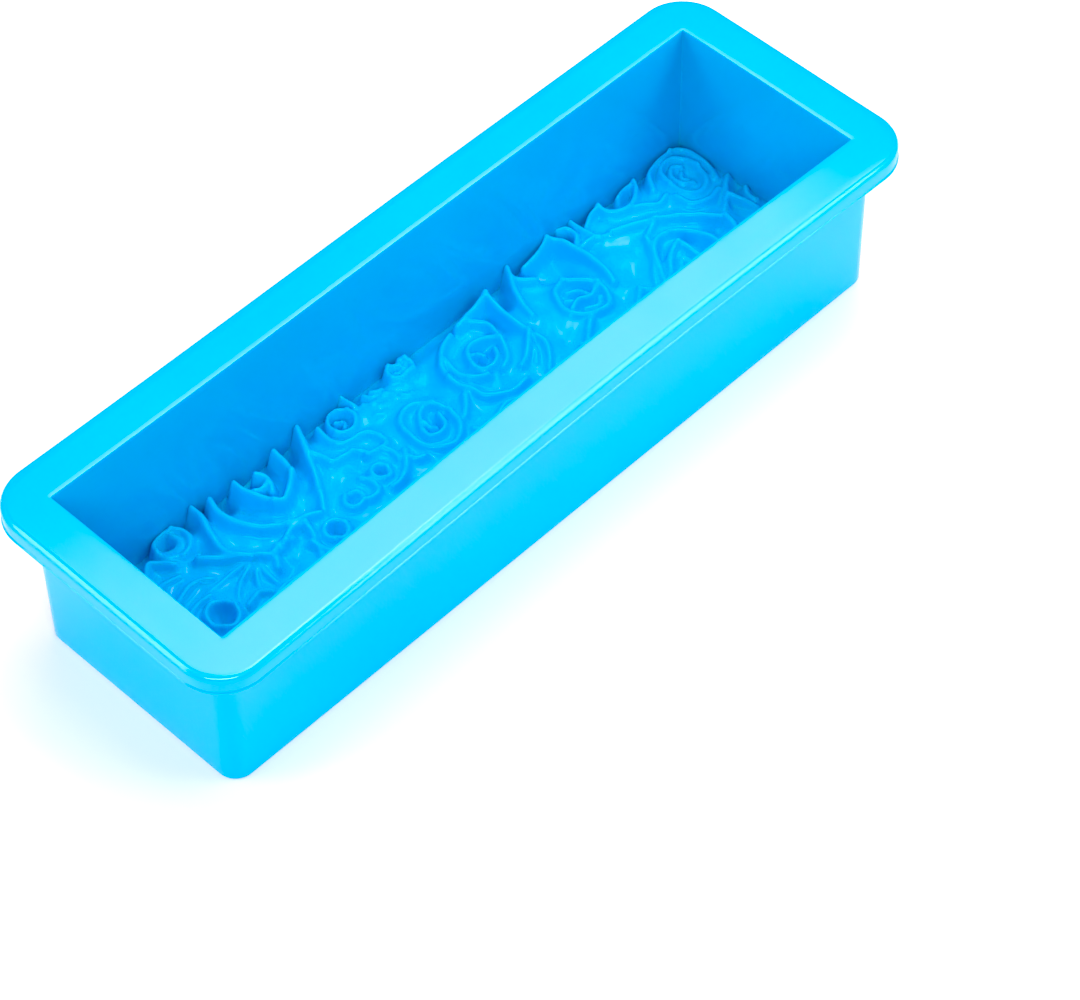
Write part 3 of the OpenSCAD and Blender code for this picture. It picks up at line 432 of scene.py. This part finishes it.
# Hollows in the bed, or mounds where the depth is negative: centre x and y, radius and depth
HOLLOWS = [
    [-61, 25, 10, 4], [-63, 16, 15, 2], [-58, 13.5, 8, 1], [-91, 28, 8, -2.6], [-91.8, 29.6, 2.2, 4],
    [-98.3, -0.4, 4.2, 4.5], [-88.5, 21, 4.5, 2.5], [-84, 5, 4, 1.6], [-78, -3, 4.5, 2],
    [-73.5, -2, 4, 2], [-48, 20, 6.5, 4.5], [-45.5, 29, 5, 4], [-70, 30, 4, 3],
    [-55.7, -1.6, 3.2, 3], [-44, 3.2, 2.6, 2.4], [-31.7, 5, 2.6, 2.8], [-34, 10.5, 5, 2.6],
    [-26.2, 27.5, 4, 2.6], [-27, 23, 9, 1.2], [-20, 25, 6, -1], [-9.5, 7, 7, 2.4], [-9, 6.5, 3, 2],
    [-1, 28.8, 5.5, -2.4], [-1, 28.8, 2, 2], [-12, 26, 6, -1], [2, 20, 7, 1.6], [19, 16, 10, 2],
    [20, 15.5, 4.5, 2.2], [14, 4, 6, 2], [32.2, 20, 6, 4], [31.5, 26.5, 4, 1.5], [39.5, 27, 5, 4],
    [57, 10, 7.5, 3.2], [58, 12, 3, 1], [62, 24, 9, 3.6], [53.5, 27, 5, 2], [71.3, 29, 2.6, 3],
    [78, 14, 9, -1.2], [72.5, 20, 4, 2], [96, 3.5, 4, 3], [86.8, 5, 3.6, 3], [96.5, -3, 4, 3],
    [105, 0, 5, 2.6],
    [96, 29, 5, 1.6], [89.8, 29.4, 2.5, 2], [82.5, 27, 5, -1.6], [114.5, 22, 7, 2.6],
    [114.5, 22, 12, -1.5], [122.5, 21, 4, 2.6], [119, 3, 5, 2.6], [122.5, 7, 3.5, 2.4],
    [44, -1, 5, 1.6], [44, 9, 6, -1], [30, -6, 5, 2], [-77, -18, 11, 3.4], [-78, -17, 4, 1.5],
    [-56, -12, 6, 2.6], [-39, -21, 10, 3.4], [-41, -22, 4, 1.5], [-6, -29, 5, 3],
    [-10, -15, 5, 2.4], [9.5, -12, 7, 3], [11.5, -32, 6, 3], [38, -18, 9, 3.2], [64, -25, 5, 3],
    [88, -22, 8, 2.8], [109, -29, 9, 3.2], [114, -12, 7, 2.8], [-110, -20, 8, 2.6],
    [-102, -27, 6, 2.6], [-115, 18, 8, 2.6], [-117, 0, 7, 2.4], [-30, -5, 6, 2],
    [22, -24, 6, 2.8], [50, -28, 8, 2.6], [73, -28, 6, 2.6],
]

CRESTS = (
    HORNED_ROSE
    + LEFT_END
    + LEAF_VEINS
    + LEFT_BUDS
    + CROWN_BUD
    + SPIRAL_ROSE
    + CENTRE_ROSE
    + RIGHT_ROSE
    + POINTED_ROSE
    + RINGED_ROSE
    + FRONT_ROSES
)

# The bed between the crests, in mm: it falls away along the back wall
BED_BELOW_RIM = 49
BED_FALL = 2.6
BED_FALL_WIDTH = 7.5
BED_SWELL = 0.3
HOLLOW_SPREAD = 1.25

# A crest's cross-section, in mm: a narrow cap on a wide, concave skirt, both growing with its height
CAP_HALF = 0.5
CAP_HALF_RISE = 0.22
CAP_SHARE = 0.45
CREST_ROUND = 0.9
SKIRT = 4
SKIRT_RISE = 0.9

# Towards the back wall the skirts shrink, so that the petal tips stand free like fingers
FREE_FROM = 20
FREE_SHARE = 0.38
FREE_SHRINK = 0.75

BLEND_POWER = 5
GRID_STEP = 0.45
CURVE_STEPS = 5


def smooth_curve(points):
    """A Catmull-Rom curve through the points, as an array of x, y rows."""
    first = [2 * points[0][k] - points[1][k] for k in range(2)]
    last = [2 * points[-1][k] - points[-2][k] for k in range(2)]
    knots = np.array([first, *points, last])
    route = []
    for a, b, c, d in zip(knots, knots[1:], knots[2:], knots[3:]):
        for t in np.arange(CURVE_STEPS) / CURVE_STEPS:
            route.append(
                b + 0.5 * t * (c - a + t * (2 * a - 5 * b + 4 * c - d + t * (3 * b - a - 3 * c + d)))
            )
    route.append(knots[-2])
    return np.array(route)


def crest_shape(x, y, crest):
    """How near each x, y is to a crest, from 1 on it to 0 at its foot, and the crest's height there."""
    start_h, end_h, *points = crest
    route = smooth_curve(points)
    free = np.clip((y - FREE_FROM) / (CAVITY_Y / MM - FREE_FROM), 0, 1)
    skirt = (SKIRT + SKIRT_RISE * max(start_h, end_h)) * (1 - FREE_SHRINK * free)
    cap_share = CAP_SHARE + FREE_SHARE * free
    near = np.zeros_like(x)
    height = np.zeros_like(x)
    count = len(route) - 1
    for k, (a, b) in enumerate(zip(route, route[1:])):
        run = b - a
        t = np.clip(((x - a[0]) * run[0] + (y - a[1]) * run[1]) / (run @ run), 0, 1)
        d = np.hypot(x - a[0] - t * run[0], y - a[1] - t * run[1])
        flank = np.sqrt(d * d + CREST_ROUND**2) - CREST_ROUND
        peak = start_h + (end_h - start_h) * (k + t) / count
        cap_half = CAP_HALF + CAP_HALF_RISE * peak
        fin = cap_share * np.exp(-((d / cap_half) ** 3))
        fin += (1 - cap_share) * np.clip(1 - flank / skirt, 0, None) ** 2
        near = np.maximum(near, fin)
        height = np.maximum(height, fin * peak)
    return near, height


def relief_heights(xs, ys):
    """Height of the rose bed above the floor, in mm, at each crossing of the xs with the ys."""
    x, y = np.meshgrid(xs, ys, indexing="ij")
    near_sum = np.zeros_like(x)
    height_sum = np.zeros_like(x)
    for crest in CRESTS:
        points = np.array(crest[2:])
        reach = SKIRT + SKIRT_RISE * max(crest[:2]) + CREST_ROUND
        low = points.min(axis=0) - reach
        high = points.max(axis=0) + reach
        i = slice(*np.searchsorted(xs, (low[0], high[0])))
        j = slice(*np.searchsorted(ys, (low[1], high[1])))
        near, height = crest_shape(x[i, j], y[i, j], crest)
        near_sum[i, j] += near**BLEND_POWER
        height_sum[i, j] += height**BLEND_POWER
    near = np.minimum(1, near_sum ** (1 / BLEND_POWER))
    height = height_sum ** (1 / BLEND_POWER)
    dish = np.zeros_like(x)
    for cx, cy, r, depth in HOLLOWS:
        u = np.clip(np.hypot(x - cx, y - cy) / (HOLLOW_SPREAD * r), 0, 1)
        dish = dish + depth * (1 - u * u) ** 2
    edge = np.clip((y - CAVITY_Y / MM) / BED_FALL_WIDTH + 1, 0, 1)
    fall = BED_FALL * edge * edge * (3 - 2 * edge)
    bed = (RIM_TOP - FLOOR_TOP) / MM - BED_BELOW_RIM
    swell = np.sin(0.55 * x + 1.2 * np.sin(0.31 * y)) * np.sin(0.47 * y + 1.1 * np.sin(0.23 * x))
    z = bed + BED_SWELL * swell - (dish + fall) * (1 - near) + height
    # Rounds the deepest hollows off just above the floor
    return (z + np.sqrt(z * z + 1)) / 2


def build_relief():
    """The rose bed as one closed mesh: a grid of heights, vertical edges and a flat underside."""
    length = 2 * CAVITY_X / MM
    width = 2 * CAVITY_Y / MM
    nx = round(length / GRID_STEP)
    ny = round(width / GRID_STEP)
    x = np.linspace(-length / 2, length / 2, nx + 1)
    y = np.linspace(-width / 2, width / 2, ny + 1)
    xs, ys = np.meshgrid(x, y, indexing="ij")
    zs = FLOOR_TOP / MM + relief_heights(x, y)
    top = np.stack([xs, ys, zs], axis=-1).reshape(-1, 3) * MM

    def index(i, j):
        return i * (ny + 1) + j

    faces = [
        (index(i, j), index(i + 1, j), index(i + 1, j + 1), index(i, j + 1))
        for i in range(nx)
        for j in range(ny)
    ]
    edge = [index(i, 0) for i in range(nx)]
    edge += [index(nx, j) for j in range(ny)]
    edge += [index(i, ny) for i in range(nx, 0, -1)]
    edge += [index(0, j) for j in range(ny, 0, -1)]
    foot = top[edge].copy()
    foot[:, 2] = FLOOR_TOP
    first = len(top)
    count = len(edge)
    for k in range(count):
        n = (k + 1) % count
        faces.append((first + k, first + n, edge[n], edge[k]))
    faces.append([first + k for k in reversed(range(count))])
    verts = np.concatenate([top, foot])
    relief = make_mesh("rose_bed", verts, faces)
    relief.data.set_sharp_from_angle(angle=math.radians(60))
    return relief


# ---------------------------------------------------------------- the silicone

def silicone_material(name, painted_lightness, shine, roughness, pimple_height):
    """Cyan silicone of a given shine, its colour paled by a factor that paints in extra light where it
    is
    above 1: light goes a little way in, the dye is slightly uneven, and the skin has fine pimples and
    patches of more and less gloss."""
    material = bpy.data.materials.new(name)
    material.use_nodes = True
    nodes = material.node_tree.nodes
    links = material.node_tree.links
    shader = nodes["Principled BSDF"]
    shader.inputs["Specular IOR Level"].default_value = shine
    shader.inputs["IOR"].default_value = 1.41
    shader.inputs["Subsurface Weight"].default_value = 0.25
    shader.inputs["Subsurface Radius"].default_value = (0.15, 0.6, 1.0)
    shader.inputs["Subsurface Scale"].default_value = 0.003
    coords = nodes.new("ShaderNodeTexCoord")

    cloud = nodes.new("ShaderNodeTexNoise")
    cloud.inputs["Scale"].default_value = 18
    cloud.inputs["Detail"].default_value = 4
    links.new(coords.outputs["Object"], cloud.inputs["Vector"])
    tint = nodes.new("ShaderNodeValToRGB")
    # Both ends of the dye's range are scaled by the paleness factor, which paints in extra light where
    # it is above 1
    tint.color_ramp.elements[0].position = 0.3
    tint.color_ramp.elements[0].color = (0.0, 0.425 * painted_lightness, 0.79 * painted_lightness, 1)
    tint.color_ramp.elements[1].position = 0.7
    tint.color_ramp.elements[1].color = (0.0, 0.45 * painted_lightness, 0.81 * painted_lightness, 1)
    links.new(cloud.outputs["Fac"], tint.inputs["Fac"])
    links.new(tint.outputs["Color"], shader.inputs["Base Color"])

    handled = nodes.new("ShaderNodeTexNoise")
    handled.inputs["Scale"].default_value = 55
    handled.inputs["Detail"].default_value = 6
    handled.inputs["Distortion"].default_value = 0.6
    links.new(coords.outputs["Object"], handled.inputs["Vector"])
    gloss = nodes.new("ShaderNodeMapRange")
    gloss.inputs["From Min"].default_value = 0.3
    gloss.inputs["From Max"].default_value = 0.7
    gloss.inputs["To Min"].default_value = 0.8 * roughness
    gloss.inputs["To Max"].default_value = 1.25 * roughness
    links.new(handled.outputs["Fac"], gloss.inputs["Value"])
    links.new(gloss.outputs["Result"], shader.inputs["Roughness"])

    pimples = nodes.new("ShaderNodeTexNoise")
    pimples.inputs["Scale"].default_value = 900
    pimples.inputs["Detail"].default_value = 2
    links.new(coords.outputs["Object"], pimples.inputs["Vector"])
    skin = nodes.new("ShaderNodeBump")
    skin.inputs["Strength"].default_value = 1
    skin.inputs["Distance"].default_value = pimple_height
    links.new(pimples.outputs["Fac"], skin.inputs["Height"])
    links.new(skin.outputs["Normal"], shader.inputs["Normal"])
    return material


# ---------------------------------------------------------------- the stage

CAMERA_AZIMUTH = -45.26
CAMERA_ELEVATION = 50.79
CAMERA_ROLL = -0.83
CAMERA_DISTANCE = 0.9568
CAMERA_LENS = 119.2
CAMERA_TARGET = Vector((-0.0350, -0.0621, RIM_TOP))
FLOOR_HALF = 6


def add_camera():
    """A long lens that looks at a point in the plane of the rim's top, turned by its roll."""
    a = math.radians(CAMERA_AZIMUTH)
    e = math.radians(CAMERA_ELEVATION)
    roll = math.radians(CAMERA_ROLL)
    back = Vector((math.sin(a) * math.cos(e), -math.cos(a) * math.cos(e), math.sin(e)))
    level = Vector((math.cos(a), math.sin(a), 0))
    above = back.cross(level)
    right = math.cos(roll) * level + math.sin(roll) * above
    up = math.cos(roll) * above - math.sin(roll) * level
    data = bpy.data.cameras.new("camera")
    data.lens = CAMERA_LENS
    data.sensor_width = 36
    camera = bpy.data.objects.new("camera", data)
    bpy.context.scene.collection.objects.link(camera)
    matrix = camera.matrix_world.to_3x3()
    matrix.col[0] = right
    matrix.col[1] = up
    matrix.col[2] = back
    camera.matrix_world = matrix.to_4x4()
    camera.location = CAMERA_TARGET + back * CAMERA_DISTANCE
    bpy.context.scene.camera = camera


def add_floor():
    half = FLOOR_HALF
    verts = [(-half, -half, 0), (half, -half, 0), (half, half, 0), (-half, half, 0)]
    floor = make_mesh("floor", verts, [(0, 1, 2, 3)])
    material = bpy.data.materials.new("pale_floor")
    material.use_nodes = True
    shader = material.node_tree.nodes["Principled BSDF"]
    shader.inputs["Base Color"].default_value = (0.91, 0.91, 0.91, 1)
    shader.inputs["Roughness"].default_value = 0.9
    floor.data.materials.append(material)


def add_light(name, place, aim, size, power, tint=(1, 1, 1)):
    """An area light of the given width and height, facing the point that it aims at."""
    data = bpy.data.lights.new(name, "AREA")
    data.shape = "RECTANGLE"
    data.size, data.size_y = size
    data.energy = power
    data.color = tint
    light = bpy.data.objects.new(name, data)
    bpy.context.scene.collection.objects.link(light)
    light.location = place
    light.rotation_euler = (Vector(aim) - Vector(place)).to_track_quat("-Z", "Y").to_euler()


def add_lights():
    """Soft panels. The sheen panel is mirrored in the top of the near rim, and the two edge panels
    and the corner fill in its rounded edge, where they draw a bright line."""
    middle = (0, 0, 0.03)
    sheen_tint = (1, 0.65, 0.8)
    add_light("corner_fill", (-1, -0.85, 1.15), middle, (1.6, 0.6), 18)
    add_light("rim_sheen", (0.63, 0.39, 1.26), (0.63, 0.39, 0), (0.8, 0.88), 8.6, sheen_tint)
    add_light("front_edge", (0.58, -0.85, 0.62), (0.58, -0.24, 0.04), (0.4, 1.46), 8.6)
    add_light("left_edge", (-0.94, 0.58, 0.62), (-0.33, 0.58, 0.04), (0.4, 1.46), 8)
    add_light("overhead", (0.3, -0.05, 1.4), (0.3, -0.05, 0), (0.8, 0.8), 7)


def add_world():
    world = bpy.data.worlds.new("studio")
    world.use_nodes = True
    background = world.node_tree.nodes["Background"]
    background.inputs["Color"].default_value = (1, 1, 1, 1)
    background.inputs["Strength"].default_value = 0.28
    bpy.context.scene.world = world


def grade_picture():
    """A plain view with slightly deeper cyans, as in a catalogue picture."""
    view = bpy.context.scene.view_settings
    view.view_transform = "Standard"
    view.use_curve_mapping = True
    view.curve_mapping.black_level = (0.12, 0, 0)
    view.curve_mapping.update()


# ---------------------------------------------------------------- build

add_camera()
add_world()
add_floor()
add_lights()
grade_picture()

glossy_silicone = silicone_material("cyan_silicone", 1.0, 1.0, 0.14, 0.004 * MM)
# The rose bed is the same silicone as the shell, painted 7% paler: painted extra light on the bed
matte_silicone = silicone_material("cyan_silicone_matte", 1.07, 0.45, 0.2, 0.01 * MM)

shell = build_shell()
shell.data.materials.append(glossy_silicone)
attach(shell, "root")
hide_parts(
    "rim_flange", "front_wall", "back_wall", "left_end_wall", "right_end_wall", "base"
)

roses = build_relief()
roses.data.materials.append(matte_silicone)
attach(roses, "root")
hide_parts("rose_relief")
